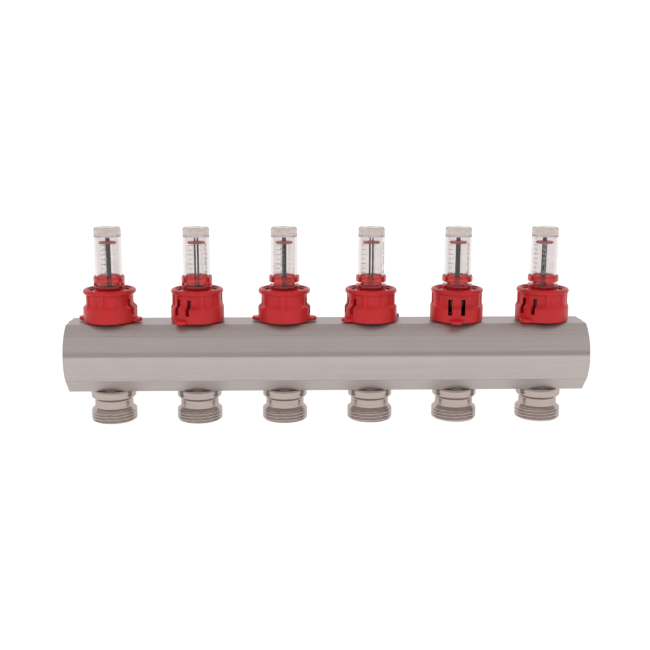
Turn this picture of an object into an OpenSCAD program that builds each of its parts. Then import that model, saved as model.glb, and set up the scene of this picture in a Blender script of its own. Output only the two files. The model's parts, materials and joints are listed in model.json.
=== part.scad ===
// Underfloor heating supply manifold: a nickel-plated bar that feeds six heating
// circuits, with a flow meter on top of each circuit and an outlet nipple below it.
// X runs along the bar, Y away from the front and Z up. The origin is in the middle
// of the bar's length, on the plane of the port axes, level with the nipples' feet.

/* [Bar] */
// Number of heating circuits
circuits = 6; // [2:1:6]
// Distance between neighbouring ports
port_pitch = 50; // [45:1:60]
// Length of the bar beyond the last port at each end
end_margin = 23.7; // [23:0.1:40]
// Radius of the bar's round front and back
bar_r = 21.6; // [21.4:0.1:23]
// Height of the top flat above the bar's axis
top_flat = 19; // [18.5:0.1:20]
// Depth of the bottom flat below the bar's axis
bottom_flat = 20.3; // [19:0.1:20.6]
// Distance from the bar's axis to its two lower bevels
bevel_r = 21.3; // [21:0.1:21.4]
// Radius of the water duct along the bar
duct_r = 14.5; // [13:0.1:14.8]
// Minor radius of the G1 thread in each end
end_thread_r = 15.15; // [15.1:0.05:15.3]
// Depth of the G1 thread in each end
end_thread_l = 12.5; // [10:0.5:12.5]

/* [Outlet nipples] */
// Height of a nipple below the bar
nipple_drop = 19.1; // [18:0.1:22]
// Crest radius of the G3/4 outlet thread
outlet_thread_r = 13.1; // [13:0.05:13.25]
// Length of full thread between its two chamfers
outlet_thread_l = 5.5; // [5:0.1:7]
// Radius of the smooth neck above the thread
neck_r = 11; // [10.5:0.1:11.5]
// Radius of the collar that bears on the bar
collar_r = 12.85; // [12:0.05:13.5]
// Height of the collar above its chamfer
collar_h = 4.5; // [3:0.1:4.6]
// Radius of the water way through the nipple
outlet_bore_r = 7.6; // [7:0.1:8]
// Radius of the orifice in which the flow plate hangs
orifice_r = 6.5; // [6.3:0.1:6.9]

/* [Flow meters] */
// Radius of the clear sight glass
glass_r = 7.6; // [7.3:0.1:7.8]
// Height of the sight glass above the bar
glass_top = 54.5; // [53:0.1:60]
// Thickness of the sight glass's wall
glass_wall = 1.3; // [1:0.1:1.5]
// Radius of the adjusting collar
knob_r = 8.8; // [8.4:0.1:9]
// Height of the adjusting collar
knob_h = 8.4; // [7:0.1:10]
// Radius of the red indicator disc
disc_r = 4.9; // [4:0.1:5.5]
// Depth that the indicator sinks to at full flow
indicator_travel = 17; // [12:1:17]
// Height that the valve lifts to when fully open
valve_lift = 3.75; // [3:0.25:4]

/* [Locking rings] */
// Radius of the ring's lower band
band_r = 15.2; // [14.9:0.1:16]
// Radius of the ring's recessed neck
ring_neck_r = 13.2; // [12.9:0.1:13.5]
// Radius of the ring's rounded rim
rim_r = 14.9; // [14.2:0.1:15]
// Height of the ring
ring_h = 18.6; // [18.6:0.1:20]
// Distance from the axis to the tip of a pull tab
tab_reach = 18.7; // [18:0.1:20]

/* [Hidden] */
$fn = 64;
smooth_fn = 128;
wire_fn = 32;

// Heights that are shared between parts, measured from the bar's top flat
bar_l = (circuits - 1) * port_pitch + 2 * end_margin;
bar_h = top_flat + bottom_flat;
axis_z = nipple_drop + bottom_flat;
flat_z = nipple_drop + bar_h;
overcut = 1;
circuit_ids = [for (i = [1 : circuits]) i];

// Clearances of running and static fits
running = 0.08;
static_gap = 0.05;
slide_gap = 0.3;

// Ports and seals
spigot_r = 10.4;
spigot_l = 7.3;
port_r = spigot_r + static_gap;
seal_wire_r = 0.7;
seal_groove_r = 9;
seal_groove_w = 1.7;
seal_groove_gap = 1.3;

// Outlet nipple
foot_r = 11.8;
foot_chamfer = 1.2;
thread_runout = 1.8;
collar_chamfer = 1.6;
collar_foot_r = 11.2;
orifice_l = 3.5;
orifice_flare = 1.1;
cone_mouth_r = 9.7;
cone_h = 5;

// Meter body
hex_r = 12.4;
hex_h = 6.7;
body_r = 11.3;
body_h = 17.7;
body_chamfer = 0.6;
boss_r = 5.6;
boss_l = 7.5;
chamber_floor = -5.3;
rod_r = 1.4;
stem_r = 3;
rod_hole_r = rod_r + running;
glass_seal_z = 12;

// Sight glass and adjusting collar
foot_gap = 1;
glass_foot = chamber_floor + foot_gap;
glass_web = 1.5;
glass_crown = 4.8;
glass_edge_r = 1.3;
flange_r = 8.3;
flange_gap = 0.1;
flange_z = body_h + flange_gap;
flange_h = 0.8;
knob_z = flange_z + flange_h;
window_z = 21.4;
window_h = 1.8;
window_half = 73;

// Valve stem and indicator
seat_z = spigot_l - bar_h;
stem_foot = seat_z + static_gap;
head_r = 8;
head_h = 2.8;
stem_clear = 0.75;
stem_top = glass_foot - stem_clear - valve_lift;
plate_r = 6.2;
plate_h = 1;
plate_drop = 2.1;
plate_z = seat_z - plate_drop;
rod_top = 48.9;
rod_tip_r = 1.2;
rod_slot_w = 0.9;
rod_slot_z = 22;
disc_z = 45;
disc_h = 1.2;
hub_r = 2.2;
hub_h = 1.9;

// Return spring
spring_foot = glass_foot + glass_web;
spring_pressed = 6;
spring_r = 2;
spring_wire_r = 0.3;
spring_turns = 6;
spring_steps = 9;
spring_sides = 5;
stop_r = 2.5;
stop_z = spring_foot + indicator_travel + spring_pressed;
stop_h = 0.8;

// Locking ring
ring_z = 0.7;
ring_wall = 0.35;
skirt_r = hex_r + ring_wall;
hex_clear = 0.4;
skirt_h = hex_h + hex_clear;
ring_bore_r = body_r + slide_gap;
band_top = 8.5;
shoulder_top = 10.9;
rim_z = 16.4;
mouth_step = 0.5;
mouth_z = body_h + mouth_step;
mouth_r = 12.3;
rim_round = 1;
rib_r = 14.4;
rib_w = 3;
rib_root = 0.6;
rib_angles = [0, 42, -42];
tab_r = 3.8;
tab_h = 1.9;
tab_z = 0.8;
slot_gap = 3.65;
slot_w = 2.3;
slot_z = 5.2;
slot_h = 8.9;
slot_cut = 6;

// How each unit happens to be turned
ring_turns = [-10, -122, -3, -155, -99, -138];
knob_turns = [3, -5, 67, 87, 81, -76];
rod_turns = [90, 0, 90, 0, 90, 90];

PARTS = [
    "outlet_nipple", "meter_body", "valve_stem", "sight_glass", "adjusting_collar",
    "return_spring", "indicator_rod", "indicator_disc", "locking_ring"
];

function port_x(i) = (i - (circuits + 1) / 2) * port_pitch;

// Places a child at a circuit's port, level with the bar's top flat
module at_port(i, turn = 0) {
    translate([port_x(i), 0, flat_z])
        rotate([0, 0, turn])
            children();
}

// ---- Bar ----------------------------------------------------------------

// The bar's section: a circle cut by the two flats, with bevels down to the lower one
module bar_section() {
    bevel = bevel_r * sqrt(2);
    bevel_foot = bevel - bottom_flat;
    tangent = bevel / 2;
    intersection() {
        union() {
            circle(r = bar_r, $fn = smooth_fn);
            polygon([[-tangent, -tangent], [-bevel_foot, -bottom_flat],
                     [bevel_foot, -bottom_flat], [tangent, -tangent]]);
        }
        polygon([[-bar_r, top_flat], [bar_r, top_flat], [bar_r, bar_r - bevel],
                 [bevel_foot, -bottom_flat], [-bevel_foot, -bottom_flat],
                 [-bar_r, bar_r - bevel]]);
    }
}

module bar() {
    thread_x = bar_l / 2 - end_thread_l;
    color([0.68, 0.64, 0.62])
        translate([0, 0, axis_z])
            difference() {
                rotate([90, 0, 90])
                    linear_extrude(height = bar_l, center = true)
                        bar_section();
                rotate([0, 90, 0])
                    cylinder(r = duct_r, h = bar_l, center = true);
                for (side = [0, 180])
                    rotate([0, 0, side])
                        translate([thread_x, 0, 0])
                            rotate([0, 90, 0])
                                cylinder(r = end_thread_r, h = end_thread_l + overcut);
                for (i = circuit_ids)
                    translate([port_x(i), 0, 0])
                        cylinder(r = port_r, h = 2 * bar_r, center = true);
            }
}

// ---- Seals ----------------------------------------------------------------

module o_ring(r) {
    rotate_extrude()
        translate([r, 0])
            circle(r = seal_wire_r, $fn = wire_fn);
}

// O-rings in the nipples' spigots, which seal them into the bar
module nipple_seals() {
    seal_z = seal_groove_gap + seal_wire_r - bar_h;
    color([0.08, 0.08, 0.08])
        for (i = circuit_ids)
            at_port(i)
                translate([0, 0, seal_z])
                    o_ring(seal_groove_r + seal_wire_r);
}

// O-rings in the meter bodies' spigots
module body_seals() {
    seal_z = -seal_groove_gap - seal_wire_r;
    color([0.08, 0.08, 0.08])
        for (i = circuit_ids)
            at_port(i)
                translate([0, 0, seal_z])
                    o_ring(seal_groove_r + seal_wire_r);
}

// O-rings inside the meter bodies, in which the sight glasses turn
module glass_seals() {
    color([0.08, 0.08, 0.08])
        for (i = circuit_ids)
            at_port(i)
                translate([0, 0, glass_seal_z + seal_wire_r])
                    o_ring(glass_r + static_gap + seal_wire_r);
}

// ---- Outlet nipple --------------------------------------------------------

// Turned nipple: spigot with the valve seat on top, collar, neck and G3/4 thread,
// with the 30 degree cone of a pipe adapter in its foot. Heights are from the foot.
module outlet_nipple(i) {
    runout_z = foot_chamfer + outlet_thread_l;
    chamfer_z = nipple_drop - collar_h - collar_chamfer;
    groove_z = nipple_drop + seal_groove_gap;
    top_z = nipple_drop + spigot_l;
    flare_z = top_z - orifice_l;
    color([0.66, 0.61, 0.58])
        translate([port_x(i), 0, 0])
            rotate_extrude()
                polygon([
                    [cone_mouth_r, 0], [foot_r, 0],
                    [outlet_thread_r, foot_chamfer], [outlet_thread_r, runout_z],
                    [neck_r, runout_z + thread_runout], [neck_r, chamfer_z],
                    [collar_foot_r, chamfer_z], [collar_r, chamfer_z + collar_chamfer],
                    [collar_r, nipple_drop], [spigot_r, nipple_drop],
                    [spigot_r, groove_z], [seal_groove_r, groove_z],
                    [seal_groove_r, groove_z + seal_groove_w],
                    [spigot_r, groove_z + seal_groove_w],
                    [spigot_r, top_z], [orifice_r, top_z],
                    [orifice_r, flare_z], [outlet_bore_r, flare_z - orifice_flare],
                    [outlet_bore_r, cone_h]
                ]);
}

// ---- Flow meter -----------------------------------------------------------

// Turned outline of the meter body without its hexagon
module body_turning() {
    groove_z = -seal_groove_gap - seal_groove_w;
    inner_groove_r = glass_r + static_gap + 2 * seal_wire_r + static_gap;
    chamber_r = glass_r + running;
    boss_z = -spigot_l - boss_l;
    rotate_extrude()
        polygon([
            [stem_r + running, boss_z], [boss_r, boss_z], [boss_r, -spigot_l],
            [spigot_r, -spigot_l], [spigot_r, groove_z], [seal_groove_r, groove_z],
            [seal_groove_r, -seal_groove_gap], [spigot_r, -seal_groove_gap],
            [spigot_r, 0], [body_r, 0], [body_r, body_h - body_chamfer],
            [body_r - body_chamfer, body_h], [chamber_r, body_h],
            [chamber_r, glass_seal_z + seal_groove_w],
            [inner_groove_r, glass_seal_z + seal_groove_w],
            [inner_groove_r, glass_seal_z], [chamber_r, glass_seal_z],
            [chamber_r, chamber_floor], [stem_r + running, chamber_floor]
        ]);
}

// Brass insert that screws into the top of the bar and carries the sight glass
module meter_body(i) {
    color([0.74, 0.71, 0.68])
        at_port(i) {
            body_turning();
            difference() {
                cylinder(r = hex_r, h = hex_h, $fn = 6);
                translate([0, 0, -overcut])
                    cylinder(r = body_r, h = hex_h + 2 * overcut);
            }
        }
}

// Hollow stem with the valve head that closes on the nipple's seat
module valve_stem(i) {
    color([0.2, 0.2, 0.22])
        at_port(i)
            translate([0, 0, stem_foot])
                difference() {
                    union() {
                        cylinder(r = head_r, h = head_h);
                        cylinder(r = stem_r, h = stem_top - stem_foot);
                    }
                    translate([0, 0, -overcut])
                        cylinder(r = rod_hole_r, h = stem_top - stem_foot + 2 * overcut);
                }
}

// Clear tube with a thick rounded crown and a web at its foot
module sight_glass(i) {
    bore_r = glass_r - glass_wall;
    bore_top = glass_top - glass_crown;
    edge_x = glass_r - glass_edge_r;
    edge_z = glass_top - glass_edge_r;
    color([0.9, 0.92, 0.93, 0.35])
        at_port(i)
            rotate_extrude()
                difference() {
                    union() {
                        polygon([
                            [0, glass_foot], [glass_r, glass_foot], [glass_r, flange_z],
                            [flange_r, flange_z], [flange_r, knob_z], [glass_r, knob_z],
                            [glass_r, edge_z], [edge_x, edge_z], [edge_x, glass_top],
                            [0, glass_top]
                        ]);
                        translate([edge_x, edge_z])
                            circle(r = glass_edge_r);
                    }
                    polygon([
                        [-overcut, glass_foot - overcut], [rod_hole_r, glass_foot - overcut],
                        [rod_hole_r, spring_foot], [bore_r, spring_foot],
                        [bore_r, bore_top], [-overcut, bore_top]
                    ]);
                }
}

// Wedge that cuts one of the two windows out of an adjusting collar
module collar_window() {
    reach = knob_r + overcut;
    width = reach * tan(window_half);
    translate([0, 0, window_z - knob_z])
        linear_extrude(height = window_h)
            polygon([[0, 0], [width, reach], [-width, reach]]);
}

// Red collar fixed on the sight glass: turning it sets the valve
module adjusting_collar(i) {
    color([0.75, 0.18, 0.18])
        at_port(i, knob_turns[i - 1])
            translate([0, 0, knob_z])
                difference() {
                    cylinder(r = knob_r, h = knob_h);
                    translate([0, 0, -overcut])
                        cylinder(r = glass_r + static_gap, h = knob_h + 2 * overcut);
                    for (side = [0, 180])
                        rotate([0, 0, side])
                            collar_window();
                }
}

// Points on one ring of the spring's wire at a step along its helix
function wire_ring(step, rise) = [
    for (k = [0 : spring_sides - 1])
        let (turn = 360 * step / spring_steps)
        let (around = 360 * k / spring_sides)
        let (reach = spring_r + spring_wire_r * cos(around))
        [reach * cos(turn), reach * sin(turn), rise * step + spring_wire_r * sin(around)]
];

module return_spring(i) {
    steps = spring_turns * spring_steps;
    rise = (stop_z - spring_foot - 2 * spring_wire_r) / steps;
    points = [for (s = [0 : steps]) each wire_ring(s, rise)];
    first_cap = [for (k = [0 : spring_sides - 1]) k];
    last_cap = [for (k = [spring_sides - 1 : -1 : 0]) steps * spring_sides + k];
    sides = [
        for (s = [0 : steps - 1])
            for (k = [0 : spring_sides - 1])
                let (a = s * spring_sides + k)
                let (b = s * spring_sides + (k + 1) % spring_sides)
                [a, a + spring_sides, b + spring_sides, b]
    ];
    color([0.7, 0.7, 0.72])
        at_port(i)
            translate([0, 0, spring_foot + spring_wire_r])
                polyhedron(points, concat([first_cap], sides, [last_cap]), convexity = 8);
}

// Rod that hangs in the flow: plate at its foot, spring stop, and a slotted top
module indicator_rod(i) {
    color([0.27, 0.27, 0.28])
        at_port(i, rod_turns[i - 1])
            difference() {
                union() {
                    translate([0, 0, plate_z])
                        cylinder(r = plate_r, h = plate_h);
                    translate([0, 0, plate_z])
                        cylinder(r = rod_r, h = disc_z - plate_z);
                    translate([0, 0, stop_z])
                        cylinder(r = stop_r, h = stop_h);
                    translate([0, 0, disc_z])
                        cylinder(r = rod_tip_r, h = rod_top - disc_z);
                }
                translate([-rod_slot_w / 2, -stop_r, rod_slot_z])
                    cube([rod_slot_w, 2 * stop_r, rod_top]);
            }
}

module indicator_disc(i) {
    color([0.82, 0.2, 0.18])
        at_port(i)
            translate([0, 0, disc_z])
                difference() {
                    union() {
                        cylinder(r = disc_r, h = disc_h);
                        cylinder(r = hub_r, h = hub_h);
                    }
                    translate([0, 0, -overcut])
                        cylinder(r = rod_tip_r + static_gap, h = hub_h + 2 * overcut);
                }
}

// ---- Locking ring ---------------------------------------------------------

// Turned outline of the ring: band, shoulder, neck and rounded rim
module ring_turning() {
    top_z = ring_z + ring_h;
    rotate_extrude()
        difference() {
            union() {
                polygon([
                    [0, ring_z], [band_r, ring_z], [band_r, band_top],
                    [ring_neck_r, shoulder_top], [ring_neck_r, rim_z],
                    [rim_r - rim_round, rim_z], [rim_r - rim_round, top_z], [0, top_z]
                ]);
                for (z = [rim_z + rim_round, top_z - rim_round])
                    translate([rim_r - rim_round, z])
                        circle(r = rim_round);
                translate([ring_neck_r, rim_z + rim_round])
                    square([rim_r - ring_neck_r, top_z - rim_z - 2 * rim_round]);
            }
            polygon([
                [-overcut, ring_z - overcut], [skirt_r, ring_z - overcut],
                [skirt_r, skirt_h], [ring_bore_r, skirt_h + skirt_r - ring_bore_r],
                [ring_bore_r, mouth_z], [mouth_r, mouth_z + mouth_r - ring_bore_r],
                [mouth_r, top_z + overcut], [-overcut, top_z + overcut]
            ]);
        }
}

// Grip ribs on both sides of the neck, away from the pull tabs
module ring_ribs() {
    rib_depth = rib_r - ring_neck_r + rib_root;
    for (side = [90, 270])
        for (angle = rib_angles)
            rotate([0, 0, side + angle])
                translate([ring_neck_r - rib_root, -rib_w / 2, band_top - rib_root])
                    cube([rib_depth, rib_w, rim_z + rim_round + rib_root - band_top]);
}

// Snap-on ring that locks the setting: it lifts off over the sight glass
module locking_ring(i) {
    color([0.75, 0.18, 0.18])
        at_port(i, ring_turns[i - 1])
            difference() {
                union() {
                    ring_turning();
                    ring_ribs();
                    for (side = [0, 180])
                        rotate([0, 0, side])
                            translate([tab_reach - tab_r, 0, tab_z])
                                cylinder(r = tab_r, h = tab_h);
                }
                translate([0, 0, tab_z - overcut])
                    cylinder(r = skirt_r, h = skirt_h - tab_z + overcut);
                for (side = [0, 180])
                    for (y = [-slot_gap, slot_gap])
                        rotate([0, 0, side])
                            translate([band_r - slot_cut, y - slot_w / 2, slot_z])
                                cube([slot_cut + overcut, slot_w, slot_h]);
            }
}

bar();
nipple_seals();
body_seals();
glass_seals();
for (i = circuit_ids) {
    outlet_nipple(i);
    meter_body(i);
    valve_stem(i);
    sight_glass(i);
    adjusting_collar(i);
    return_spring(i);
    indicator_rod(i);
    indicator_disc(i);
    locking_ring(i);
}
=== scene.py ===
import json
import math
import numpy as np
import bpy
import bmesh
from mathutils import Matrix, Vector


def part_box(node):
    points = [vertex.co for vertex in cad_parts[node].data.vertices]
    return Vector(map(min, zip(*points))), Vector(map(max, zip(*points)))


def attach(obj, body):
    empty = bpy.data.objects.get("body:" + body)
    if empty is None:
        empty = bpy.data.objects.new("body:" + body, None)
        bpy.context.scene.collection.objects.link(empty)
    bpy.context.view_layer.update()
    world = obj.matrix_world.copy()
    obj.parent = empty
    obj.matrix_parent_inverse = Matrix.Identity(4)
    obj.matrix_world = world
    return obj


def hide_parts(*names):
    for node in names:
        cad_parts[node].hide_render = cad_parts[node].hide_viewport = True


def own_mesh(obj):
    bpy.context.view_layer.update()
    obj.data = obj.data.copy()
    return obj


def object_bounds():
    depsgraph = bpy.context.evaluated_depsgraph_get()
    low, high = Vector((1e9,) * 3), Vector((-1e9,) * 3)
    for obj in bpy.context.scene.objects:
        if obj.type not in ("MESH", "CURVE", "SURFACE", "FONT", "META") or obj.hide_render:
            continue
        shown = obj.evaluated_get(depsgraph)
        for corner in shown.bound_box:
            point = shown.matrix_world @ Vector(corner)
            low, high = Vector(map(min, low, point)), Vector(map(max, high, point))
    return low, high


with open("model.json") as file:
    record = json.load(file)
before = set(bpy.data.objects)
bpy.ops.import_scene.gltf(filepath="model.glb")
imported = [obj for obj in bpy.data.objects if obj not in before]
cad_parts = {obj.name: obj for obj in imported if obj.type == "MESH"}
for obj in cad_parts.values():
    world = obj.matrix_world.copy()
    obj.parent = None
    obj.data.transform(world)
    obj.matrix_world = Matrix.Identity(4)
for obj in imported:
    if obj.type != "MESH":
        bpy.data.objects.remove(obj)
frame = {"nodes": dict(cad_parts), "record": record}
cad_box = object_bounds()

# Everything below is laid out in millimetres and scaled on the way into a mesh.
MM = 0.001
MOUNTS = {m["name"]: m for m in frame["record"]["mounts"]}
UNITS = range(1, 7)
LEFT, RIGHT = cad_box[0].x / MM, cad_box[1].x / MM
TOP = cad_box[1].z / MM
AXIS = MOUNTS["inlet_left"]["pos_m"][2] / MM
BAR_LO, BAR_HI = (corner.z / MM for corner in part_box("bar"))
FLAT = BAR_HI
NIPPLE_DROP = BAR_LO


def port_x(i):
    lo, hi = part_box(f"outlet_nipple_{i}")
    return (lo.x + hi.x) / 2 / MM


# How each unit happens to be turned, in degrees, as in the CAD
RING_TURNS = (-10, -122, -3, -155, -99, -138)
KNOB_TURNS = (3, -5, 67, 87, 81, -76)
# Where the scale stands on each glass, from the front, and where its figures do
SCALE_TURNS = (-9, -17, -23, -37, -40, -51)
FIGURE_TURNS = (-1, 48, -10, 60, 40, -15)


# ---- Materials ------------------------------------------------------------

def new_material(name):
    mat = bpy.data.materials.new(name)
    mat.use_nodes = True
    tree = mat.node_tree
    return mat, tree, tree.nodes["Principled BSDF"]


def object_coords(tree, scale):
    coords = tree.nodes.new("ShaderNodeTexCoord")
    mapping = tree.nodes.new("ShaderNodeMapping")
    mapping.inputs["Scale"].default_value = scale
    tree.links.new(coords.outputs["Object"], mapping.inputs["Vector"])
    return mapping.outputs["Vector"]


def noise(tree, vector, scale, detail=4.0, rough=0.55):
    node = tree.nodes.new("ShaderNodeTexNoise")
    node.inputs["Scale"].default_value = scale
    node.inputs["Detail"].default_value = detail
    node.inputs["Roughness"].default_value = rough
    tree.links.new(vector, node.inputs["Vector"])
    return node.outputs["Fac"]


def ramp(tree, factor, stops):
    node = tree.nodes.new("ShaderNodeValToRGB")
    elements = node.color_ramp.elements
    while len(elements) < len(stops):
        elements.new(0.5)
    for element, (place, colour) in zip(elements, stops):
        element.position = place
        element.color = (*colour, 1.0)
    tree.links.new(factor, node.inputs["Fac"])
    return node.outputs["Color"]


def spread(tree, factor, low, high, source=(0.3, 0.7)):
    node = tree.nodes.new("ShaderNodeMapRange")
    node.inputs["From Min"].default_value = source[0]
    node.inputs["From Max"].default_value = source[1]
    node.inputs["To Min"].default_value = low
    node.inputs["To Max"].default_value = high
    tree.links.new(factor, node.inputs["Value"])
    return node.outputs["Result"]


def bump(tree, bsdf, height, strength, distance):
    node = tree.nodes.new("ShaderNodeBump")
    node.inputs["Strength"].default_value = strength
    node.inputs["Distance"].default_value = distance
    tree.links.new(height, node.inputs["Height"])
    tree.links.new(node.outputs["Normal"], bsdf.inputs["Normal"])


def by_height(tree, stops):
    """A colour that follows the height in the piece, stops in millimetres."""
    coords = tree.nodes.new("ShaderNodeTexCoord")
    split = tree.nodes.new("ShaderNodeSeparateXYZ")
    tree.links.new(coords.outputs["Object"], split.inputs[0])
    low, high = stops[0][0], stops[-1][0]
    place = spread(tree, split.outputs["Z"], 0.0, 1.0, source=(low * MM, high * MM))
    return ramp(tree, place, [((z - low) / (high - low), colour) for z, colour in stops])


def multiply(tree, first, second):
    node = tree.nodes.new("ShaderNodeMix")
    node.data_type = "RGBA"
    node.blend_type = "MULTIPLY"
    node.inputs["Factor"].default_value = 1.0
    tree.links.new(first, node.inputs["A"])
    tree.links.new(second, node.inputs["B"])
    return node.outputs["Result"]


def add(tree, first, second, operation="ADD"):
    node = tree.nodes.new("ShaderNodeMath")
    node.operation = operation
    tree.links.new(first, node.inputs[0])
    tree.links.new(second, node.inputs[1])
    return node.outputs[0]


def grey(stops):
    return [(height, (value, value, value)) for height, value in stops]


def beyond_radius(tree, radius):
    """One beyond a radius from the piece's own axis, nought within it."""
    coords = tree.nodes.new("ShaderNodeTexCoord")
    flat = tree.nodes.new("ShaderNodeVectorMath")
    flat.operation = "MULTIPLY"
    flat.inputs[1].default_value = (1, 1, 0)
    length = tree.nodes.new("ShaderNodeVectorMath")
    length.operation = "LENGTH"
    tree.links.new(coords.outputs["Object"], flat.inputs[0])
    tree.links.new(flat.outputs["Vector"], length.inputs[0])
    return spread(tree, length.outputs["Value"], 0.0, 1.0, source=(radius * MM, (radius + 0.4) * MM))


def nickel(name, dark, light, roughness, streaks, grain, metallic=1.0, painted_shade=None):
    """Nickel plate: streaked along the given stretch, with faint cloudy stains. The
    roughness goes by height; the last argument gives a radius and a height for painted shade: the
    colour is painted black outside and below them."""
    mat, tree, bsdf = new_material(name)
    along = noise(tree, object_coords(tree, streaks), 1.0, 5.0, 0.6)
    clouds = noise(tree, object_coords(tree, (1, 1, 1)), 45.0, 3.0)
    mix = tree.nodes.new("ShaderNodeMath")
    mix.operation = "MULTIPLY_ADD"
    tree.links.new(clouds, mix.inputs[0])
    mix.inputs[1].default_value = 0.45
    tree.links.new(along, mix.inputs[2])
    colour = ramp(tree, mix.outputs[0], ((0.45, dark), (0.95, light)))
    # painted shade: black outside the radius and below the height, standing in for the shade inside the
    # locking ring
    if painted_shade:
        radius, height = painted_shade
        low = by_height(tree, grey(((height, 0.06), (height + 1, 1.0))))
        inner = spread(tree, beyond_radius(tree, radius), 1.0, 0.0, source=(0, 1))
        colour = multiply(tree, colour, add(tree, low, inner, "MAXIMUM"))
    tree.links.new(colour, bsdf.inputs["Base Color"])
    drift = spread(tree, along, -0.03, 0.03)
    tree.links.new(add(tree, by_height(tree, grey(roughness)), drift), bsdf.inputs["Roughness"])
    bsdf.inputs["Metallic"].default_value = metallic
    bsdf.inputs["Specular Tint"].default_value = (0.75, 0.74, 0.76, 1.0)
    bump(tree, bsdf, along, grain, 0.00004)
    return mat


def plastic(name, dark, light, roughness, gloss=0.5, transmission=0.0, subsurface=0.0):
    """Moulded plastic: slight colour drift, satin skin with a fine moulded grain."""
    mat, tree, bsdf = new_material(name)
    coords = object_coords(tree, (1, 1, 1))
    drift = noise(tree, coords, 90.0, 3.0)
    skin = noise(tree, coords, 2600.0, 2.0)
    tree.links.new(ramp(tree, drift, ((0.3, dark), (0.7, light))), bsdf.inputs["Base Color"])
    tree.links.new(spread(tree, drift, roughness[0], roughness[1]), bsdf.inputs["Roughness"])
    bsdf.inputs["Specular IOR Level"].default_value = gloss
    bsdf.inputs["Transmission Weight"].default_value = transmission
    bsdf.inputs["Subsurface Weight"].default_value = subsurface
    bsdf.inputs["Subsurface Radius"].default_value = (0.004, 0.0006, 0.0005)
    bsdf.inputs["Subsurface Scale"].default_value = 0.25
    bump(tree, bsdf, skin, 0.12, 0.00003)
    return mat


def clear(name, dark, light, roughness, ior, cloud):
    """Clear moulded polyamide: smoky where it is thick, and a cloudy crown from a height up."""
    mat, tree, bsdf = new_material(name)
    drift = noise(tree, object_coords(tree, (60, 60, 160)), 1.0, 3.0)
    flow = noise(tree, object_coords(tree, (260, 260, 30)), 1.0, 2.0)
    mottle = noise(tree, object_coords(tree, (1, 1, 1)), 900.0, 2.0)
    milky = (0.95, 0.92, 0.87)
    tint = by_height(tree, ((cloud - 2.5, (1, 1, 1)), (cloud, milky), (cloud + 6, milky)))
    colour = ramp(tree, drift, ((0.3, dark), (0.7, light)))
    tree.links.new(multiply(tree, colour, tint), bsdf.inputs["Base Color"])
    haze = by_height(tree, grey(((cloud - 2.5, 0.0), (cloud - 0.5, 1.0), (cloud + 6, 1.0))))
    blotch = spread(tree, mottle, 0.02, 0.24, source=(0.35, 0.65))
    veil = add(tree, haze, blotch, "MULTIPLY")
    one = spread(tree, veil, 1.0, 0.0, source=(0, 1))
    tree.links.new(one, bsdf.inputs["Transmission Weight"])
    tree.links.new(spread(tree, drift, roughness[0], roughness[1]), bsdf.inputs["Roughness"])
    bsdf.inputs["IOR"].default_value = ior
    bump(tree, bsdf, flow, 0.15, 0.00004)
    smoke = tree.nodes.new("ShaderNodeVolumeAbsorption")
    smoke.inputs["Color"].default_value = (0.80, 0.74, 0.735, 1.0)
    smoke.inputs["Density"].default_value = 140.0
    tree.links.new(smoke.outputs["Volume"], tree.nodes["Material Output"].inputs["Volume"])
    return mat


MAT = {
    "nickel_bar": nickel("nickel_bar", (0.415, 0.366, 0.350), (0.475, 0.420, 0.402),
                         ((-12.9, 0.42), (-12.3, 0.13), (12.9, 0.13), (13.7, 0.4)), (6, 700, 700), 0.12,
                         metallic=0.68),
    "nickel_nipple": nickel("nickel_nipple", (0.41, 0.345, 0.315), (0.50, 0.425, 0.39),
                            ((0, 0.17), (20, 0.17)), (90, 90, 2400), 0.2, metallic=0.85),
    "nickel_body": nickel("nickel_body", (0.46, 0.42, 0.40), (0.58, 0.54, 0.52),
                          # the body's lower outside is painted black as shade under the locking ring
                          ((0, 0.2), (20, 0.2)), (90, 90, 2400), 0.3, painted_shade=(10.0, 14.4)),
    "red_plastic": plastic("red_plastic", (0.45, 0.0125, 0.015), (0.53, 0.018, 0.021),
                           (0.30, 0.40), gloss=0.26, subsurface=0.05),
    "red_translucent": plastic("red_translucent", (0.74, 0.035, 0.037), (0.82, 0.05, 0.05),
                               (0.07, 0.13), gloss=0.4, transmission=0.78),
    "red_disc": plastic("red_disc", (0.70, 0.06, 0.055), (0.80, 0.085, 0.075),
                        (0.3, 0.42), gloss=0.3),
    "dark_plastic": plastic("dark_plastic", (0.022, 0.022, 0.025), (0.036, 0.036, 0.039),
                            (0.42, 0.56), gloss=0.2),
    "rubber": plastic("rubber", (0.012, 0.012, 0.012), (0.022, 0.022, 0.022), (0.6, 0.8)),
    "clear_plastic": clear("clear_plastic", (0.80, 0.765, 0.765), (0.86, 0.83, 0.825),
                           (0.02, 0.06), 1.46, 50.6),
    "spring_steel": nickel("spring_steel", (0.48, 0.48, 0.48), (0.66, 0.66, 0.66),
                           ((0, 0.24), (20, 0.24)), (900, 900, 90), 0.2),
    "ink": plastic("ink", (0.20, 0.19, 0.19), (0.30, 0.285, 0.28), (0.5, 0.65)),
    "figures": plastic("figures", (0.26, 0.25, 0.245), (0.36, 0.345, 0.34), (0.5, 0.65)),
}


# ---- Meshes ---------------------------------------------------------------

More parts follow.
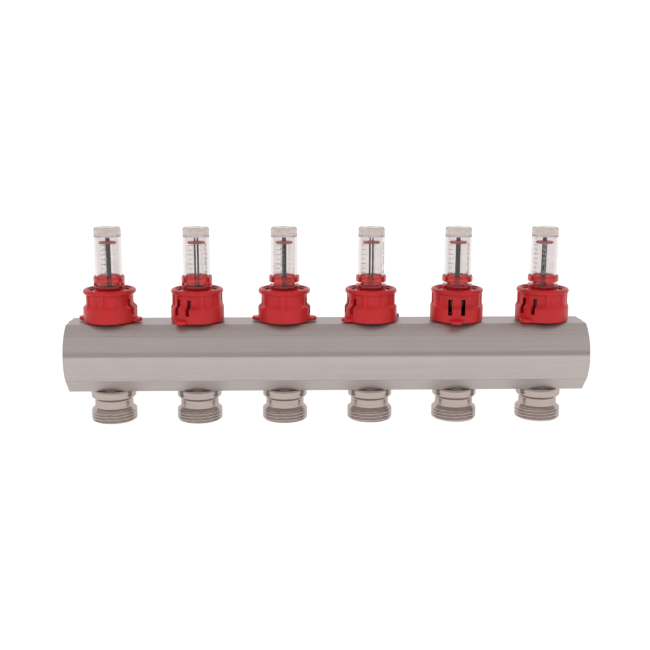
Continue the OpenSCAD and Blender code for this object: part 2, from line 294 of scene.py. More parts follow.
def make_object(name, points, faces, material, place=(0, 0, 0), crease=38):
    """A mesh object from points in millimetres, smooth but for creases."""
    mesh = bpy.data.meshes.new(name)
    mesh.from_pydata((np.asarray(points, float) * MM).tolist(), [], faces)
    bm = bmesh.new()
    bm.from_mesh(mesh)
    bmesh.ops.remove_doubles(bm, verts=bm.verts, dist=1e-8)
    bmesh.ops.recalc_face_normals(bm, faces=bm.faces)
    bm.to_mesh(mesh)
    bm.free()
    mesh.shade_smooth()
    mesh.set_sharp_from_angle(angle=math.radians(crease))
    mesh.materials.append(MAT[material])
    obj = bpy.data.objects.new(name, mesh)
    bpy.context.scene.collection.objects.link(obj)
    obj.location = Vector(place) * MM
    return obj


def copy_object(obj, name, place, turn=0.0):
    twin = bpy.data.objects.new(name, obj.data)
    bpy.context.scene.collection.objects.link(twin)
    twin.location = Vector(place) * MM
    twin.rotation_euler.z = math.radians(turn)
    return twin


def bevel(obj, width, segments, angle):
    mod = obj.modifiers.new("edges", "BEVEL")
    mod.width = width * MM
    mod.segments = segments
    mod.limit_method = "ANGLE"
    mod.angle_limit = math.radians(angle)
    mod.harden_normals = True


def declare(obj, body, node):
    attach(obj, body)
    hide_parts(node)
    return obj


def circle_angles(count):
    return np.arange(count) * 2 * math.pi / count


def loft(angles, rings):
    """Points and faces of rings of (radius, height) round Z, each a number or an array.
    The last ring joins the first."""
    count = len(angles)
    points = []
    for radius, height in rings:
        r = np.broadcast_to(radius, count)
        z = np.broadcast_to(height, count)
        points.append(np.stack([r * np.cos(angles), r * np.sin(angles), z], 1))
    faces = []
    for k in range(len(rings)):
        a, b = k * count, (k + 1) % len(rings) * count
        for j in range(count):
            n = (j + 1) % count
            faces.append((a + j, a + n, b + n, b + j))
    return np.concatenate(points), faces


def rounded(outline, radius, steps, closed=True):
    """The same outline with its corners rounded, but for the two ends of an open one."""
    result = []
    count = len(outline)
    for k, corner in enumerate(outline):
        if not closed and k in (0, count - 1):
            result.append(tuple(corner))
            continue
        here = Vector(corner)
        back = Vector(outline[k - 1]) - here
        on = Vector(outline[(k + 1) % count]) - here
        angle = back.angle(on)
        if angle > math.radians(176):
            result.append(tuple(corner))
            continue
        cut = min(radius / math.tan(angle / 2), back.length * 0.45, on.length * 0.45)
        start, end = here + back.normalized() * cut, here + on.normalized() * cut
        for s in range(steps + 1):
            t = s / steps
            point = start * (1 - t) ** 2 + here * 2 * t * (1 - t) + end * t ** 2
            result.append(tuple(point))
    return result


def lathe(name, outline, material, place, count, crease):
    points, faces = loft(circle_angles(count), outline)
    return make_object(name, points, faces, material, place, crease)


def walled(angles, levels, outer, inner, solid):
    """A tube wall with holes. outer and inner give the point for an angle and a level;
    solid says whether the cell above a level and after an angle is material."""
    cols, rows = len(angles), len(levels)
    points = []
    for shape in (outer, inner):
        for z in levels:
            points.extend(shape(a, z) for a in angles)
    offset = cols * rows
    filled = np.zeros((rows - 1, cols), bool)
    for k in range(rows - 1):
        for j in range(cols):
            middle = angles[j] + ((angles[(j + 1) % cols] - angles[j]) % 360) / 2
            filled[k, j] = solid(middle % 360, (levels[k] + levels[k + 1]) / 2)
    faces = []
    for k in range(rows - 1):
        for j in range(cols):
            if not filled[k, j]:
                continue
            n = (j + 1) % cols
            a, b, c, d = k * cols + j, k * cols + n, (k + 1) * cols + n, (k + 1) * cols + j
            faces.append((a, b, c, d))
            faces.append((d + offset, c + offset, b + offset, a + offset))
            if not filled[k, j - 1]:
                faces.append((a, d, d + offset, a + offset))
            if not filled[k, n]:
                faces.append((c, b, b + offset, c + offset))
            if k == 0 or not filled[k - 1, j]:
                faces.append((b, a, a + offset, b + offset))
            if k == rows - 2 or not filled[k + 1, j]:
                faces.append((d, c, c + offset, d + offset))
    used = sorted({v for face in faces for v in face})
    renumber = {v: n for n, v in enumerate(used)}
    return [points[v] for v in used], [tuple(renumber[v] for v in face) for face in faces]


def join(parts):
    """Several (points, faces) as one."""
    points, faces = [], []
    for more_points, more_faces in parts:
        base = len(points)
        points.extend(map(tuple, more_points))
        faces.extend(tuple(v + base for v in face) for face in more_faces)
    return points, faces


def between(low, high, step):
    return list(np.linspace(low, high, max(2, int(math.ceil((high - low) / step)) + 1)))


def smooth_step(t):
    t = np.clip(t, 0, 1)
    return t * t * (3 - 2 * t)


# ---- Bar ------------------------------------------------------------------

BAR_R = (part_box("bar")[1].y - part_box("bar")[0].y) / 2 / MM
UPPER, LOWER = BAR_HI - AXIS, AXIS - BAR_LO
BEVEL_R = 21.3
DUCT_R = 14.5
G1_MINOR = MOUNTS["inlet_left"]["dims"]["r_mm"]
G1_LENGTH = MOUNTS["inlet_left"]["dims"]["length_mm"]
G1_PITCH, G1_DEPTH = 2.309, 1.3
# How far round from the front the scribed line stands, in degrees
SCRIBE_ANGLE = 39.2


def bar_outline():
    """The bar's section as (y, z) from its axis, with a scribed line on each side."""
    edge = math.degrees(math.asin(UPPER / BAR_R))
    start = -45 + math.degrees(math.acos(BEVEL_R / BAR_R))
    foot = BEVEL_R * math.sqrt(2) - LOWER
    arc = [(BAR_R, angle) for angle in np.linspace(edge, start, 64)]
    for shift, dip in ((0.55, 0), (0.3, 0.06), (0, 0.09), (-0.3, 0.06), (-0.55, 0)):
        arc.append((BAR_R - dip, SCRIBE_ANGLE + shift))
    for shift, dip in ((1.7, 0), (1.1, 0.12), (0.5, 0.2)):
        arc.append((BAR_R - dip, start + shift))
    arc.sort(key=lambda p: -p[1])
    arc[-1] = (BAR_R - 0.16, start)
    side = [(r * math.cos(math.radians(a)), r * math.sin(math.radians(a))) for r, a in arc]
    corner = rounded([(0, UPPER), side[0], side[1]], 0.35, 4, closed=False)[1:-1]
    crease = [(side[-1][0] + 0.02, side[-1][1] - 0.02)]
    lower = rounded([side[-1], (foot, -LOWER), (0, -LOWER)], 0.5, 5, closed=False)[1:-1]
    half = [(y, UPPER) for y in np.linspace(0.8, side[0][0] - 0.6, 10)] + corner + side[1:] + crease
    bevel = [(side[-1][0] + (foot - side[-1][0]) * t, side[-1][1] + (-LOWER - side[-1][1]) * t)
             for t in (0.25, 0.5, 0.75)]
    half += bevel + lower + [(y, -LOWER) for y in np.linspace(foot - 0.9, 0.8, 9)]
    return half + [(-y, z) for y, z in reversed(half)]


def make_bar():
    outline = np.array(bar_outline())
    angles = np.arctan2(outline[:, 1], outline[:, 0])
    radii = np.hypot(outline[:, 0], outline[:, 1])
    order = np.argsort(angles)
    angles, radii = angles[order], radii[order]
    half = (RIGHT - LEFT) / 2
    thread = between(1.3, G1_LENGTH, G1_PITCH / 12)

    def thread_radius(depth):
        phase = (depth / G1_PITCH + angles / (2 * math.pi)) % 1.0
        tooth = np.clip(1 - np.abs(phase - 0.5) * 2.3, 0, 1)
        fade = min(1.0, (G1_LENGTH - depth) / 1.5)
        return G1_MINOR + G1_DEPTH * tooth * fade

    rings = []
    for side in (-1, 1):
        end = [(radii, 0.6), (radii - 0.05, 0.28), (radii - 0.17, 0.11), (radii - 0.38, 0.0)]
        end += [(19.0, 0.0), (17.4, 0.0), (17.0, 0.04), (16.75, 0.25), (G1_MINOR + 0.05, 1.25)]
        end += [(thread_radius(d), d) for d in thread]
        end += [(G1_MINOR, G1_LENGTH + 0.02), (DUCT_R + 0.1, G1_LENGTH + 0.03),
                (DUCT_R, G1_LENGTH + 0.2)]
        ends = [(r, side * (half - d)) for r, d in end]
        rings += ends if side == 1 else ends[::-1]
    # order: the left end from the duct outwards, then the right end inwards
    points, faces = loft(angles, rings)
    # the loft turns about Z: lay it along X, with the outline's first axis along Y
    laid = np.stack([points[:, 2], points[:, 0], points[:, 1]], 1)
    bar = make_object("bar_extrusion", laid, faces, "nickel_bar", (0, 0, AXIS), crease=24)
    return declare(bar, "root", "bar")


# ---- Outlet nipples ---------------------------------------------------------

G34_R = MOUNTS["outlet_1"]["dims"]["r_mm"]
G34_LENGTH = MOUNTS["outlet_1"]["dims"]["length_mm"]
G34_PITCH, G34_DEPTH = 1.814, 0.85
WATER_R = MOUNTS["outlet_bore_1"]["dims"]["r_mm"]
NECK_R, COLLAR_R, COLLAR_FOOT_R = 11.0, 12.85, 11.2
COLLAR_H, COLLAR_CHAMFER = 4.5, 1.6
SPIGOT_R, SPIGOT_L = 10.4, 7.3
FOOT_R, FOOT_CHAMFER, RUNOUT = 11.8, 1.2, 1.8


def nipple_rings(angles):
    top = NIPPLE_DROP + SPIGOT_L
    under = NIPPLE_DROP - COLLAR_H - COLLAR_CHAMFER
    thread_top = FOOT_CHAMFER + G34_LENGTH

    def thread_ring(z):
        phase = (z / G34_PITCH - angles / (2 * math.pi) + 0.35) % 1.0
        tooth = np.clip(np.abs(phase - 0.5) * 2.7 - 0.1, 0, 1)
        cut = G34_R - G34_DEPTH * (1 - smooth_step(tooth))
        if z < FOOT_CHAMFER:
            limit = FOOT_R + (G34_R - FOOT_R) * math.sin(math.pi / 2 * z / FOOT_CHAMFER)
        elif z > thread_top:
            limit = G34_R - (G34_R - NECK_R) * (z - thread_top) / RUNOUT
        else:
            limit = G34_R
        return np.maximum(np.minimum(cut, limit), min(limit, NECK_R)), z

    outside = [(9.7, 0.0), (10.2, 0.0), (FOOT_R - 0.35, 0.0), (FOOT_R - 0.1, 0.06)]
    outside += [thread_ring(z) for z in between(0.2, thread_top + RUNOUT, G34_PITCH / 14)]
    edge = under + COLLAR_CHAMFER
    neck = [(NECK_R, thread_top + RUNOUT + 0.1), (NECK_R, under - 0.5), (NECK_R + 0.03, under - 0.2),
            (COLLAR_FOOT_R, under + 0.1), (COLLAR_FOOT_R + 0.3, under + 0.35)]
    neck += [(COLLAR_R - 0.2, edge - 0.12), (COLLAR_R - 0.2, edge + 0.08)]
    collar = [(COLLAR_R - 0.03, edge + 0.12), (COLLAR_R, edge + 0.2), (COLLAR_R, NIPPLE_DROP - 0.22),
              (COLLAR_R - 0.08, NIPPLE_DROP - 0.06), (COLLAR_R - 0.24, NIPPLE_DROP),
              (SPIGOT_R, NIPPLE_DROP)]
    rest = [(SPIGOT_R, NIPPLE_DROP + 1.3), (9.0, NIPPLE_DROP + 1.3), (9.0, NIPPLE_DROP + 3.0),
            (SPIGOT_R, NIPPLE_DROP + 3.0), (SPIGOT_R, top), (6.5, top), (6.5, top - 3.5),
            (WATER_R, top - 4.6), (WATER_R, 5.2), (WATER_R + 0.1, 4.9), (9.6, 0.15)]
    return outside + neck + collar + rest


def make_nipples():
    angles = circle_angles(108)
    points, faces = loft(angles, nipple_rings(angles))
    place = (port_x(1), 0, 0)
    first = make_object("nipple_turning_1", points, faces, "nickel_nipple", place, crease=30)
    for i in UNITS:
        twin = first if i == 1 else copy_object(first, f"nipple_turning_{i}", (port_x(i), 0, 0), 47 * i)
        declare(twin, "root", f"outlet_nipple_{i}")


# ---- Meter bodies -----------------------------------------------------------

BODY_R, BODY_H, HEX_R, HEX_H = 11.3, 17.7, 12.4, 6.7
GLASS_R, GLASS_WALL = 7.6, 1.3
CHAMBER_R = GLASS_R + 0.08
CHAMBER_FLOOR = -5.3
STEM_GUIDE_R, GUIDE_FOOT = 3.08, -14.8
GROOVE, THREAD_LO, THREAD_HI, THREAD_PITCH, THREAD_CUT = 0.35, 13.4, 16.6, 0.8, 0.22


def make_bodies():
    angles = circle_angles(144)
    flat = HEX_R * math.cos(math.pi / 6)
    hexagon = flat / np.cos((angles % (math.pi / 3)) - math.pi / 6)

    def hex_ring(z):
        cone = BODY_R + 0.55 + min(z, HEX_H - z) * 1.7
        return np.maximum(np.minimum(hexagon, cone), BODY_R), z

    outside = [(SPIGOT_R, -SPIGOT_L), (SPIGOT_R, -3.0), (9.0, -3.0), (9.0, -1.3), (SPIGOT_R, -1.3),
               (SPIGOT_R, 0.0), (BODY_R + 0.3, 0.0)]
    outside += [hex_ring(z) for z in between(0.05, HEX_H - 0.05, 0.42)]
    outside += [(BODY_R, HEX_H), (BODY_R, HEX_H + 0.2), (BODY_R - GROOVE, 8.2), (BODY_R - GROOVE, 9.0),
                (BODY_R, 9.4), (BODY_R, 13.2)]
    for z in between(THREAD_LO, THREAD_HI, 0.2):
        wave = math.cos(2 * math.pi * (z - THREAD_LO) / THREAD_PITCH)
        outside.append((BODY_R - THREAD_CUT + THREAD_CUT * wave, z))
    outside += [(BODY_R, 16.9), (BODY_R - 0.15, 17.35), (BODY_R - 0.6, BODY_H)]
    inside = [(9.3, BODY_H), (9.1, BODY_H - 0.25), (8.6, BODY_H - 0.3), (CHAMBER_R + 0.3, BODY_H - 0.3),
              (CHAMBER_R, BODY_H - 0.6), (CHAMBER_R, 13.7), (9.0, 13.7), (9.0, 12.0), (CHAMBER_R, 12.0),
              (CHAMBER_R, CHAMBER_FLOOR), (STEM_GUIDE_R, CHAMBER_FLOOR), (STEM_GUIDE_R, GUIDE_FOOT),
              (5.6, GUIDE_FOOT), (5.6, -SPIGOT_L)]
    points, faces = loft(angles, outside + inside)
    first = make_object("meter_insert_1", points, faces, "nickel_body", (port_x(1), 0, FLAT), crease=30)
    for i in UNITS:
        twin = first if i == 1 else copy_object(first, f"meter_insert_{i}", (port_x(i), 0, FLAT))
        declare(twin, "root", f"meter_body_{i}")


# ---- Sight glasses ----------------------------------------------------------

GLASS_TOP = TOP - FLAT
CROWN = 4.8
BORE_R = GLASS_R - GLASS_WALL
ROD_HOLE_R = 1.48
FLANGE_Z = BODY_H + 0.1
KNOB_Z = FLANGE_Z + 0.8


def make_glasses():
    foot = CHAMBER_FLOOR + 1.0
    top = GLASS_TOP
    outline = [(GLASS_R, foot), (GLASS_R, FLANGE_Z), (8.3, FLANGE_Z), (8.3, KNOB_Z), (GLASS_R, KNOB_Z),
               (GLASS_R, KNOB_Z + 2), (GLASS_R, 30), (GLASS_R, top - 3.2), (GLASS_R, top - 2.2)]
    for t in between(0.1, math.pi / 2, 0.2):
        outline.append((GLASS_R - 1.7 + 1.7 * math.cos(t), top - 1.75 + 1.7 * math.sin(t)))
    outline += [(4.4, top - 0.03), (3.2, top), (2.2, top - 0.04), (1.9, top - 0.25), (1.75, top - 0.45),
                (1.0, top - 0.5), (0.55, top - 0.48), (0.4, top - 0.2), (0.0, top - 0.15)]
    inside = [(0.0, top - CROWN + 0.3), (0.7, top - CROWN + 0.28), (2.4, top - CROWN + 0.15)]
    for t in between(0.1, math.pi / 2, 0.25):
        inside.append((BORE_R - 1.0 + 1.0 * math.sin(t), top - CROWN - 0.9 + 0.95 * math.cos(t)))
    inside += [(BORE_R, top - CROWN - 3), (BORE_R, 20), (BORE_R, foot + 1.5),
               (ROD_HOLE_R, foot + 1.5), (ROD_HOLE_R, foot)]
    place = (port_x(1), 0, FLAT)
    first = lathe("glass_tube_1", outline + inside, "clear_plastic", place, count=128, crease=32)
    for i in UNITS:
        twin = first if i == 1 else copy_object(first, f"glass_tube_{i}", (port_x(i), 0, FLAT), 40 * i)
        declare(twin, f"setting_{i}", f"sight_glass_{i}")


def curved_patch(turn, width, low, high, radius, depth=0.05):
    """A thin closed plate on a cylinder: turn and width in degrees from the front."""
    count = max(2, int(abs(width) / 3) + 1)
    points = []
    for r in (radius, radius + depth):
        for z in (low, high):
            for a in np.linspace(turn - width / 2, turn + width / 2, count):
                angle = math.radians(a - 90)
                points.append((r * math.cos(angle), r * math.sin(angle), z))
    faces = []
    bottom_in, top_in, bottom_out, top_out = (k * count for k in range(4))
    for j in range(count - 1):
        faces += [(bottom_in + j, top_in + j, top_in + j + 1, bottom_in + j + 1),
                  (bottom_out + j, bottom_out + j + 1, top_out + j + 1, top_out + j),
                  (bottom_in + j, bottom_in + j + 1, bottom_out + j + 1, bottom_out + j),
                  (top_in + j, top_out + j, top_out + j + 1, top_in + j + 1)]
    e = count - 1
    faces += [(bottom_in, bottom_out, top_out, top_in),
              (bottom_in + e, top_in + e, top_out + e, bottom_out + e)]
    return points, faces


SEGMENTS = {0: "abcdef", 1: "bc", 2: "abged", 3: "abgcd", 4: "fgbc", 5: "afgcd"}


def figure(number, turn, base, radius, wide=9.0, tall=1.9, stroke=0.36):
    """A figure in seven strokes, wide in degrees and tall in millimetres."""
    across = math.degrees(stroke / radius)
    mid, top = base + tall / 2, base + tall
    bars = {
        "a": (turn, wide, top - stroke, top), "g": (turn, wide, mid - stroke / 2, mid + stroke / 2),
        "d": (turn, wide, base, base + stroke),
        "f": (turn - wide / 2, across, mid, top), "b": (turn + wide / 2, across, mid, top),
        "e": (turn - wide / 2, across, base, mid), "c": (turn + wide / 2, across, base, mid),
    }
    return [curved_patch(*bars[s], radius) for s in SEGMENTS[number]]


SCALE_LOW, SCALE_STEP, SCALE_MARKS = 28.6, 2.65, 7


def make_scales():
    radius = GLASS_R + 0.01
    for i in UNITS:
        turn = SCALE_TURNS[i - 1]
        marks, figures = [], []
        for k in range(SCALE_MARKS):
            z = SCALE_LOW + k * SCALE_STEP
            wide = 26 if k % 2 == 0 else 19
            marks.append(curved_patch(turn - 3, wide, z, z + 0.28, radius))
            marks.append(curved_patch(turn + 46, 12, z, z + 0.22, radius))
            half_way = z + SCALE_STEP / 2
            marks.append(curved_patch(turn + 46, 7, half_way, half_way + 0.2, radius))
        for k in range(SCALE_MARKS):
            z = SCALE_LOW - 0.6 + k * SCALE_STEP
            figures += figure(min(5, k), FIGURE_TURNS[i - 1], z, radius)
        for kind, parts, material in (("ticks", marks, "ink"), ("figures", figures, "figures")):
            points, faces = join(parts)
            obj = make_object(f"scale_{kind}_{i}", points, faces, material, (port_x(i), 0, FLAT))
            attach(obj, f"setting_{i}")


# ---- Adjusting collars ------------------------------------------------------

KNOB_R, KNOB_H = 8.8, 8.4
WINDOW_Z, WINDOW_H, WINDOW_HALF = 21.4, 1.8, 73


def knob_mesh():
    edges = [90 - WINDOW_HALF, 90 + WINDOW_HALF, 270 - WINDOW_HALF, 270 + WINDOW_HALF]
    angles = []
    for low, high in zip(edges, edges[1:] + [edges[0] + 360]):
        angles += between(low, high, 2.5)[:-1]
    angles = sorted(a % 360 for a in angles)
    top = KNOB_Z + KNOB_H - 0.45
    levels = [KNOB_Z, KNOB_Z + 0.3, KNOB_Z + 0.55, WINDOW_Z - 0.5, WINDOW_Z - 0.25, WINDOW_Z,
              WINDOW_Z + WINDOW_H / 2, WINDOW_Z + WINDOW_H, WINDOW_Z + WINDOW_H + 0.25,
              WINDOW_Z + WINDOW_H + 0.5, top - 1.6, top - 0.8, top - 0.3, top]

    def height(a, z):
        rise = 0.16 * smooth_step((z - (top - 1.6)) / 1.6)
        lobes = max(-0.6, math.sin(math.radians(a * 14))) + 0.35 * math.sin(math.radians(a * 5 + 40))
        return z + rise * lobes

    def outer(a, z):
        r = KNOB_R
        if z < KNOB_Z + 0.5:
            r -= 0.25 * (1 - smooth_step((z - KNOB_Z) / 0.5))
        if z > top - 0.8:
            r -= 0.3 * smooth_step((z - top + 0.8) / 0.8)
        for edge in (WINDOW_Z, WINDOW_Z + WINDOW_H):
            r -= 0.16 * max(0.0, 1 - abs(z - edge) / 0.3)
        rad = math.radians(a)
        return r * math.cos(rad), r * math.sin(rad), height(a, z)

    def inner(a, z):
        rad = math.radians(a)
        r = GLASS_R + 0.06
        return r * math.cos(rad), r * math.sin(rad), height(a, z)

    def solid(a, z):
        in_window = min(abs(a - 90), abs(a - 270)) < WINDOW_HALF
        return not (in_window and WINDOW_Z < z < WINDOW_Z + WINDOW_H)

    return walled(angles, levels, outer, inner, solid)


def make_knobs():
    points, faces = knob_mesh()
    first = make_object("adjusting_knob_1", points, faces, "red_translucent", crease=50)
    for i in UNITS:
        twin = first if i == 1 else copy_object(first, f"adjusting_knob_{i}", (0, 0, 0))
        twin.location = Vector((port_x(i), 0, FLAT)) * MM
        twin.rotation_euler.z = math.radians(KNOB_TURNS[i - 1])
        declare(twin, f"setting_{i}", f"adjusting_collar_{i}")


# ---- Indicators and springs -------------------------------------------------

def make_discs():
    for i in UNITS:
        lo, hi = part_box(f"indicator_disc_{i}")
        z0 = lo.z / MM - FLAT
        r = (hi.x - lo.x) / 2 / MM
        corners = [(1.24, z0), (r - 0.25, z0), (r, z0 + 0.3), (r, z0 + 0.9), (r - 0.3, z0 + 1.2),
                   (3.4, z0 + 1.0), (2.0, z0 + 1.0), (1.85, z0 + 1.45), (1.24, z0 + 1.45)]
        outline = rounded(corners, 0.16, 3)
        place = (port_x(i), 0, FLAT)
        disc = lathe(f"float_disc_{i}", outline, "red_disc", place, count=72, crease=45)
        declare(disc, f"indicator_{i}", f"indicator_disc_{i}")


def make_springs():
    radius, wire, turns, steps, sides = 2.0, 0.3, 6.0, 28, 10
    for i in UNITS:
        lo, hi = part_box(f"return_spring_{i}")
        low, high = lo.z / MM - FLAT + wire, hi.z / MM - FLAT - wire
        count = int(turns * steps)
        rings = []
        for s in range(count + 1):
            t = s / count
            angle = 2 * math.pi * turns * t
            # closed end coils, open ones between
            lift = t - 0.035 * math.sin(2 * math.pi * t)
            z = low + (high - low) * lift
            for k in range(sides):
                around = 2 * math.pi * k / sides
                reach = radius + wire * math.cos(around)
                rise = wire * math.sin(around)
                rings.append((reach * math.cos(angle), reach * math.sin(angle), z + rise))
        faces = []
        for s in range(count):
            for k in range(sides):
                a, n = s * sides + k, s * sides + (k + 1) % sides
                faces.append((a, a + sides, n + sides, n))
        faces.append(tuple(range(sides)))
        faces.append(tuple(count * sides + k for k in reversed(range(sides))))
        place = (port_x(i), 0, FLAT)
        spring = make_object(f"coil_spring_{i}", rings, faces, "spring_steel", place, crease=60)
        declare(spring, f"setting_{i}", f"return_spring_{i}")
        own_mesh(spring)


# ---- Locking rings ----------------------------------------------------------

RING_Z, RING_H = 0.7, 18.6
BAND_TOP, SHOULDER_TOP, RIM_Z = 8.5, 10.9, 16.4
RIM_R = 14.9
NECK_BASE, RIB_R, RECESS_R = 13.2, 14.45, 13.75
SKIRT_R, SKIRT_H, RING_BORE = 12.75, 7.1, 11.6
SLOT_Y, SLOT_W, SLOT_Z, SLOT_H = 3.65, 2.3, 5.2, 8.9
TAB_R, TAB_REACH, TAB_Z, TAB_H = 3.8, 18.7, 0.8, 1.9
SLOT_AT = 14.0


def fold(angle):
    """Degrees from the nearest pull tab's axis, 0 to 90."""
    a = abs((angle + 180) % 360 - 180)
    return min(a, 180 - a)


def band_radius(angle):
    return float(np.interp(fold(angle), (0, 22, 36, 50, 84, 85, 90),
                           (15.0, 15.2, 15.05, 15.2, 15.1, 15.2, 15.2)))


def neck_radius(angle):
    """Grip ribs: one on the rib axis and one 42 degrees to each side, panels between."""
    from_rib = 90 - fold(angle)
    return float(np.interp(from_rib, (0, 6.0, 7.2, 36.5, 37.7, 47, 48.6, 52, 90),
                           (RIB_R, RIB_R - 0.02, RECESS_R, RECESS_R, RIB_R - 0.1, RIB_R - 0.2,
                            NECK_BASE + 0.35, NECK_BASE, NECK_BASE)))


def ring_outer_radius(angle, z):
    if z <= RING_Z + 0.5:
        t = (z - RING_Z) / 0.5
        return band_radius(angle) - 0.35 * (1 - math.sqrt(max(0.0, 1 - (1 - t) ** 2)))
    if z <= BAND_TOP:
        return band_radius(angle)
    if z <= SHOULDER_TOP:
        t = smooth_step((z - BAND_TOP) / (SHOULDER_TOP - BAND_TOP))
        return band_radius(angle) * (1 - t) + neck_radius(angle) * t
    if z <= RIM_Z:
        return neck_radius(angle)
    middle = (RIM_Z + RING_Z + RING_H) / 2
    reach = (RING_Z + RING_H - RIM_Z) / 2
    swell = math.sqrt(max(0.0, 1 - ((z - middle) / reach) ** 2))
    r = RIM_R - 1.25 + 1.25 * swell
    return max(r, neck_radius(angle) * 0.985) if z < middle else r


def ring_inner_radius(z):
    heights = (RING_Z, RING_Z + 0.3, SKIRT_H, SKIRT_H + SKIRT_R - RING_BORE, 18.2, 18.6, 18.9, 19.3)
    radii = (SKIRT_R + 0.25, SKIRT_R, SKIRT_R, RING_BORE, RING_BORE, 12.3, 12.35, 12.75)
    return float(np.interp(z, heights, radii))


def slot_swing(angle, radius):
    """Keeps the slots' sides parallel to the pull tab's axis at every radius."""
    off = fold(angle)
    weight = 1 - float(smooth_step((off - 22) / 16))
    if weight <= 0:
        return angle
    side = min(1.0, SLOT_AT * math.sin(math.radians(off)) / radius)
    bent = math.degrees(math.asin(side))
    a = (angle + 180) % 360 - 180
    sign = math.copysign(1, math.sin(math.radians(2 * a))) if off > 1e-6 else 0
    return angle + sign * weight * (bent - off)


def ring_mesh():
    inner_edge = math.degrees(math.asin((SLOT_Y - SLOT_W / 2) / SLOT_AT))
    outer_edge = math.degrees(math.asin((SLOT_Y + SLOT_W / 2) / SLOT_AT))
    marks = [0, inner_edge, outer_edge, 38, 41.4, 43, 52.3, 53.5, 82.8, 84, 90]
    quarter = []
    for low, high in zip(marks, marks[1:]):
        quarter += between(low, high, 2.2)[:-1]
    angles = sorted({round(a % 360, 4) for q in quarter + [90]
                     for a in (q, 180 - q, 180 + q, 360 - q)})
    fixed = [RING_Z, RING_Z + 0.1, RING_Z + 0.25, RING_Z + 0.5, SLOT_Z, SKIRT_H,
             SKIRT_H + SKIRT_R - RING_BORE, SLOT_Z + SLOT_H, BAND_TOP, SHOULDER_TOP, RIM_Z]
    rim = list(np.linspace(RIM_Z, RING_Z + RING_H, 17))
    fixed = sorted(set(round(z, 3) for z in fixed + rim + between(BAND_TOP, SHOULDER_TOP, 0.35)))
    levels = []
    for low, high in zip(fixed, fixed[1:]):
        levels += between(low, high, 1.2)[:-1]
    levels.append(fixed[-1])

    def place(a, r, z):
        rad = math.radians(slot_swing(a, r))
        return r * math.cos(rad), r * math.sin(rad), z

    def outer(a, z):
        return place(a, ring_outer_radius(a, z), z)

    def inner(a, z):
        return place(a, ring_inner_radius(z), z)

    def solid(a, z):
        return not (inner_edge < fold(a) < outer_edge and SLOT_Z < z < SLOT_Z + SLOT_H)

    return walled(angles, levels, outer, inner, solid)


def tab_mesh(turn):
    """A thumb tab: a thin tongue with a round end that grows out of the band."""
    centre = TAB_REACH - TAB_R
    root = 14.2
    outline = []
    for a in np.linspace(-90, 90, 21):
        outline.append((centre + TAB_R * math.cos(math.radians(a)), TAB_R * math.sin(math.radians(a))))
    outline += [(root, TAB_R + 0.5), (root - 0.35, 0.0), (root, -TAB_R - 0.5)]
    layers = [(TAB_Z, 0.28), (TAB_Z + 0.1, 0.1), (TAB_Z + 0.3, 0.0), (TAB_Z + TAB_H - 0.5, 0.0),
              (TAB_Z + TAB_H - 0.18, 0.12), (TAB_Z + TAB_H - 0.03, 0.35), (TAB_Z + TAB_H, 0.6)]
    middle = Vector((centre, 0))
    c, s = math.cos(math.radians(turn)), math.sin(math.radians(turn))
    points = []
    for z, shrink in layers:
        for x, y in outline:
            v = Vector((x, y)) - middle
            k = 1 - shrink / TAB_R
            x2, y2 = middle.x + v.x * k, v.y * k
            points.append((c * x2 - s * y2, s * x2 + c * y2, z))
    count = len(outline)
    faces = [tuple(reversed(range(count)))]
    for k in range(len(layers) - 1):
        for j in range(count):
            n = (j + 1) % count
            faces.append((k * count + j, k * count + n, (k + 1) * count + n, (k + 1) * count + j))
    faces.append(tuple((len(layers) - 1) * count + j for j in range(count)))
    return points, faces


def make_rings():
    points, faces = join([ring_mesh(), tab_mesh(0), tab_mesh(180)])
    first = make_object("snap_ring_1", points, faces, "red_plastic", crease=32)
    for i in UNITS:
        twin = first if i == 1 else copy_object(first, f"snap_ring_{i}", (0, 0, 0))
        twin.location = Vector((port_x(i), 0, FLAT)) * MM
        twin.rotation_euler.z = math.radians(RING_TURNS[i - 1])
        bevel(twin, 0.12, 2, 50)
        declare(twin, f"ring_{i}", f"locking_ring_{i}")


# ---- Kept CAD nodes -----------------------------------------------------------

def paint(node, material):
    obj = frame["nodes"][node]
    if not obj.material_slots:
        obj.data.materials.append(MAT[material])
    for one in obj.material_slots:
        one.material = MAT[material]


def paint_kept():
    for node in ("nipple_seals", "body_seals", "glass_seals"):
        paint(node, "rubber")
    for i in UNITS:
        paint(f"valve_stem_{i}", "dark_plastic")
        paint(f"indicator_rod_{i}", "dark_plastic")


# ---- Stage --------------------------------------------------------------------

def make_floor():
    mat, tree, bsdf = new_material("floor")
    grain = noise(tree, object_coords(tree, (1, 1, 1)), 14.0, 2.0)
    tree.links.new(ramp(tree, grain, ((0.3, (0.31, 0.31, 0.31)), (0.7, (0.33, 0.33, 0.33)))),
                   bsdf.inputs["Base Color"])
    bsdf.inputs["Roughness"].default_value = 0.9
    bsdf.inputs["Emission Color"].default_value = (1, 1, 1, 1)
    bsdf.inputs["Emission Strength"].default_value = 0.83
    profile = [(-3.0, 0.0), (1.2, 0.0)]
    for a in np.linspace(0, math.pi / 2, 13)[1:]:
        profile.append((1.2 + 0.6 * math.sin(a), 0.6 - 0.6 * math.cos(a)))
    profile.append((1.8, 2.6))
    points = [(x / MM, y / MM, z / MM) for y, z in profile for x in (-4.0, 4.0)]
    faces = [(2 * k, 2 * k + 1, 2 * k + 3, 2 * k + 2) for k in range(len(profile) - 1)]
    MAT["floor"] = mat
    floor = make_object("studio_floor", points, faces, "floor", (0, 0, -0.05))


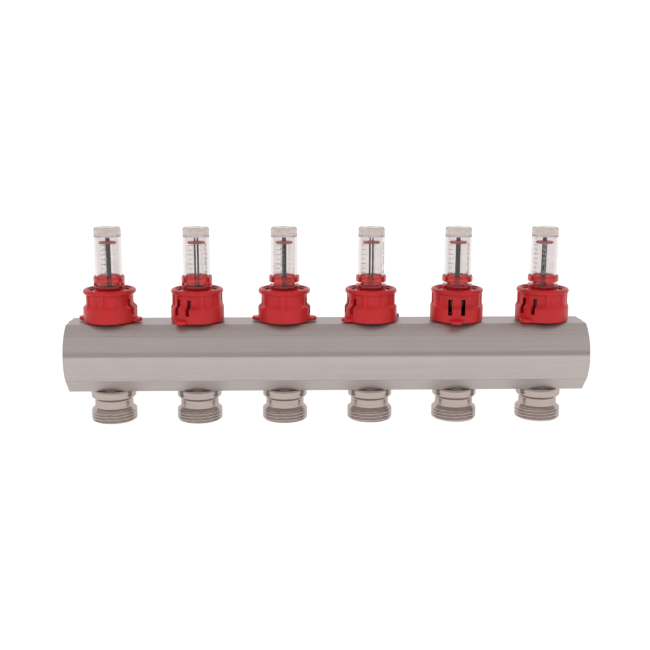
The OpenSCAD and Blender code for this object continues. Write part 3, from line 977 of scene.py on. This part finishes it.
def make_world():
    """Soft studio surround: dimmer overhead and at the front's eye level."""
    world = bpy.data.worlds.new("studio")
    bpy.context.scene.world = world
    world.use_nodes = True
    tree = world.node_tree
    background = tree.nodes["Background"]
    coords = tree.nodes.new("ShaderNodeTexCoord")
    split = tree.nodes.new("ShaderNodeSeparateXYZ")
    tree.links.new(coords.outputs["Generated"], split.inputs[0])
    height = spread(tree, split.outputs["Z"], 0.0, 1.0, source=(-1.0, 1.0))
    stops = ((0.0, 0.95), (0.41, 0.95), (0.44, 0.50), (0.60, 0.50),
             (0.63, 0.74), (0.94, 0.74), (0.96, 0.56), (1.0, 0.56))
    colour = ramp(tree, height, [(place, (v, v * 0.99, v * 0.985)) for place, v in stops])
    tree.links.new(colour, background.inputs["Color"])
    background.inputs["Strength"].default_value = 1.0


def area_light(name, place, aim, size, power):
    data = bpy.data.lights.new(name, "AREA")
    data.shape = "RECTANGLE"
    data.size, data.size_y = size
    data.energy = power
    light = bpy.data.objects.new(name, data)
    bpy.context.scene.collection.objects.link(light)
    light.location = place
    light.visible_glossy = False
    light.rotation_euler = (Vector(aim) - Vector(place)).to_track_quat("-Z", "Y").to_euler()


FOCAL_PIXELS, IMAGE_SIDE, SENSOR = 950, 650, 36


def make_camera():
    """The photograph's view, solved from the bar and the six tubes."""
    place = Vector((-0.01966, -0.54084, AXIS * MM + 0.12774))
    yaw, pitch, roll = 0.0336, 0.2032, 0.0030
    ahead = Vector((math.sin(yaw) * math.cos(pitch), math.cos(yaw) * math.cos(pitch), -math.sin(pitch)))
    right = Vector((math.cos(yaw), -math.sin(yaw), 0))
    up = right.cross(ahead)
    turned = math.cos(roll) * right + math.sin(roll) * up
    risen = -math.sin(roll) * right + math.cos(roll) * up
    data = bpy.data.cameras.new("camera")
    data.sensor_width = SENSOR
    data.lens = FOCAL_PIXELS * SENSOR / IMAGE_SIDE
    data.clip_start, data.clip_end = 0.01, 20
    camera = bpy.data.objects.new("camera", data)
    bpy.context.scene.collection.objects.link(camera)
    rotation = Matrix((turned, risen, -ahead)).transposed()
    camera.matrix_world = Matrix.Translation(place) @ rotation.to_4x4()
    bpy.context.scene.camera = camera


make_camera()
make_world()
make_floor()
area_light("key", (-0.9, -1.0, 1.1), (0, 0, 0.06), (0.9, 0.7), 6)
area_light("fill", (1.0, -0.8, 0.7), (0, 0, 0.06), (0.9, 0.9), 1.5)
make_bar()
make_nipples()
make_bodies()
make_glasses()
make_scales()
make_knobs()
make_discs()
make_springs()
make_rings()
paint_kept()
bpy.context.scene.view_settings.view_transform = "Standard"
